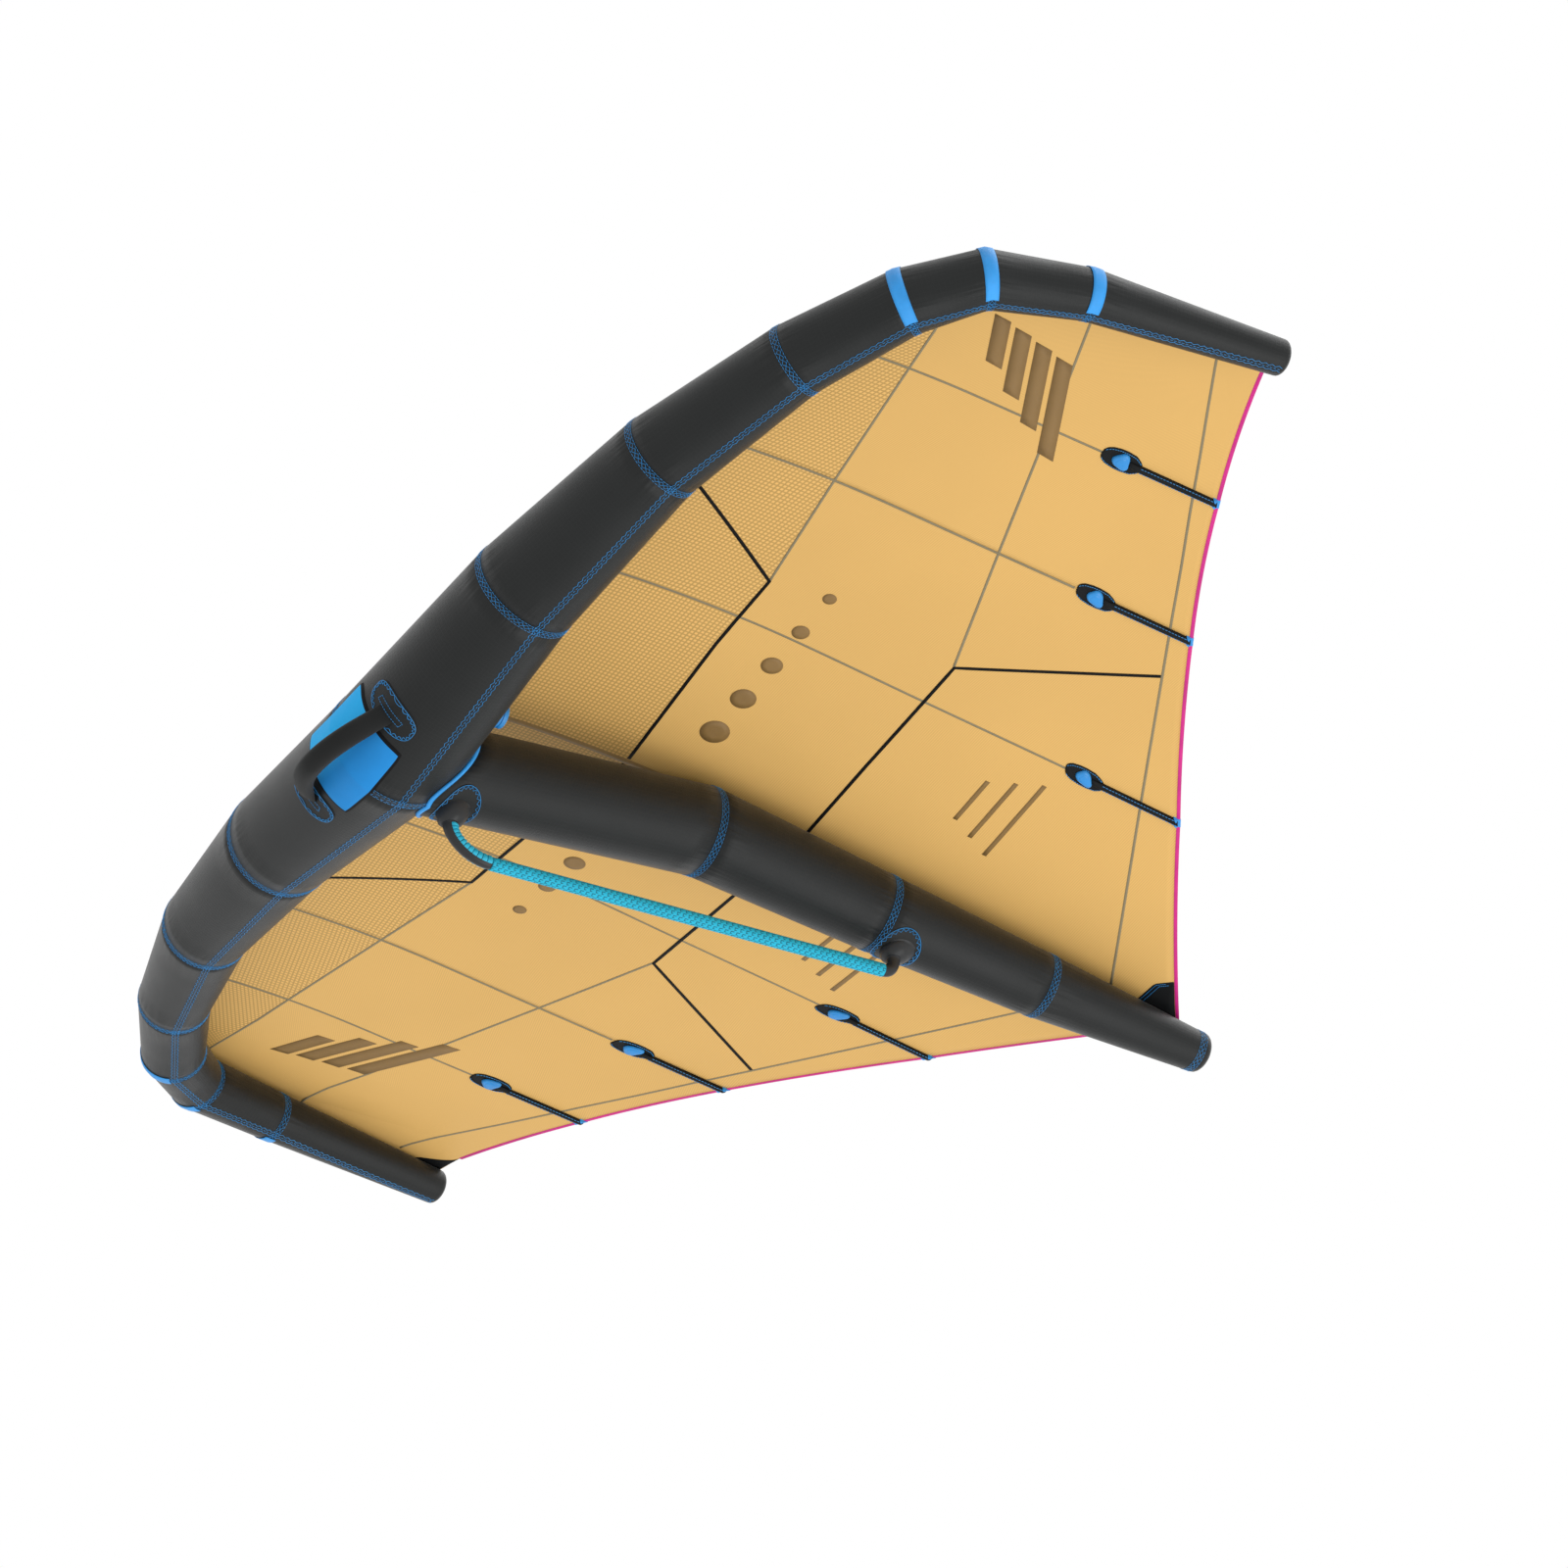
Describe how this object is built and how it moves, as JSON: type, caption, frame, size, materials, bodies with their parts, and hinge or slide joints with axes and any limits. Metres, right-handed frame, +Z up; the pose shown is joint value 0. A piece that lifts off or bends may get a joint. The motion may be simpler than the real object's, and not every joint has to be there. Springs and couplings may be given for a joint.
{
  "type": "wingfoil wing",
  "caption": "Hand-held inflatable wing for foil boards: swept leading edge tube, centre strut, taut canopy with battens, front handle and a clip-in boom under the strut.",
  "frame": {"origin": "middle of the boom's grip, on its axis, where the rider's hand holds the wing", "axes": "+X along the span to the right tip, +Y back from the leading edge to the trailing edge, +Z up"},
  "size_m": [3.1904, 2.0794, 0.5748],
  "materials": {
    "tube_cloth": "woven, matt",
    "seam_tape": "woven tape, matt",
    "canopy_cloth": "thin ripstop, slightly translucent",
    "edge_binding": "woven tape, matt",
    "reinforcement": "woven, matt",
    "batten_blue": "moulded, semi-gloss",
    "foam_pad": "foam with a fine texture, matt",
    "handle_foam": "foam, matt",
    "boom_plastic": "moulded, satin",
    "boom_tube_alloy": "satin",
    "grip_foam": "embossed foam, matt",
    "bladder_film": "clear film",
    "valve_plastic": "moulded, semi-gloss",
    "hose_plastic": "satin"
  },
  "bodies": {
    "wing": {"le_panel_right_1": "tube_cloth", "le_panel_right_2": "tube_cloth", "le_panel_right_3": "tube_cloth", "le_panel_right_4": "tube_cloth", "le_panel_right_5": "tube_cloth", "le_panel_right_6": "tube_cloth", "le_panel_right_7": "tube_cloth", "le_panel_left_1": "tube_cloth", "le_panel_left_2": "tube_cloth", "le_panel_left_3": "tube_cloth", "le_panel_left_4": "tube_cloth", "le_panel_left_5": "tube_cloth", "le_panel_left_6": "tube_cloth", "le_panel_left_7": "tube_cloth", "seam_band_right_4": "seam_tape", "seam_band_right_5": "seam_tape", "seam_band_right_6": "seam_tape", "seam_band_left_4": "seam_tape", "seam_band_left_5": "seam_tape", "seam_band_left_6": "seam_tape", "le_bladder": "bladder_film", "strut_panel_1": "tube_cloth", "strut_panel_2": "tube_cloth", "strut_panel_3": "tube_cloth", "strut_panel_4": "tube_cloth", "strut_bladder": "bladder_film", "strut_welt": "seam_tape", "canopy_middle": "canopy_cloth", "canopy_right": "canopy_cloth", "canopy_left": "canopy_cloth", "te_binding_right": "edge_binding", "te_binding_left": "edge_binding", "batten_pocket_right_1": "reinforcement", "batten_right_1": "batten_blue", "batten_pocket_right_2": "reinforcement", "batten_right_2": "batten_blue", "batten_pocket_right_3": "reinforcement", "batten_right_3": "batten_blue", "batten_pocket_left_1": "reinforcement", "batten_left_1": "batten_blue", "batten_pocket_left_2": "reinforcement", "batten_left_2": "batten_blue", "batten_pocket_left_3": "reinforcement", "batten_left_3": "batten_blue", "front_pad": "foam_pad", "handle_patch_right": "tube_cloth", "handle_patch_left": "tube_cloth", "boom_mount_front": "boom_plastic", "boom_mount_rear": "boom_plastic", "valve_base": "valve_plastic", "feed_hose": "hose_plastic"},
    "boom": {"boom_tube": "boom_tube_alloy", "boom_grip": "grip_foam", "boom_elbow_front": "boom_plastic", "boom_elbow_rear": "boom_plastic"},
    "handle": {"le_handle": "handle_foam"},
    "valve_cap": {"valve_cap": "valve_plastic"}
  },
  "joints": [
    {"name": "boom_release", "type": "slide", "parent": "wing", "child": "boom", "axis": [0, 0, -1], "range_m": [0, 0.045]},
    {"name": "handle_swing", "type": "hinge", "parent": "wing", "child": "handle", "pos_m": [0, -0.78018, 0.07967], "axis": [1, 0, 0], "range_deg": [-45, 45]},
    {"name": "valve_cap_hinge", "type": "hinge", "parent": "wing", "child": "valve_cap", "pos_m": [0.16404, -0.53031, 0.14579], "axis": [-1, 0, 0], "range_deg": [0, 110]}
  ]
}
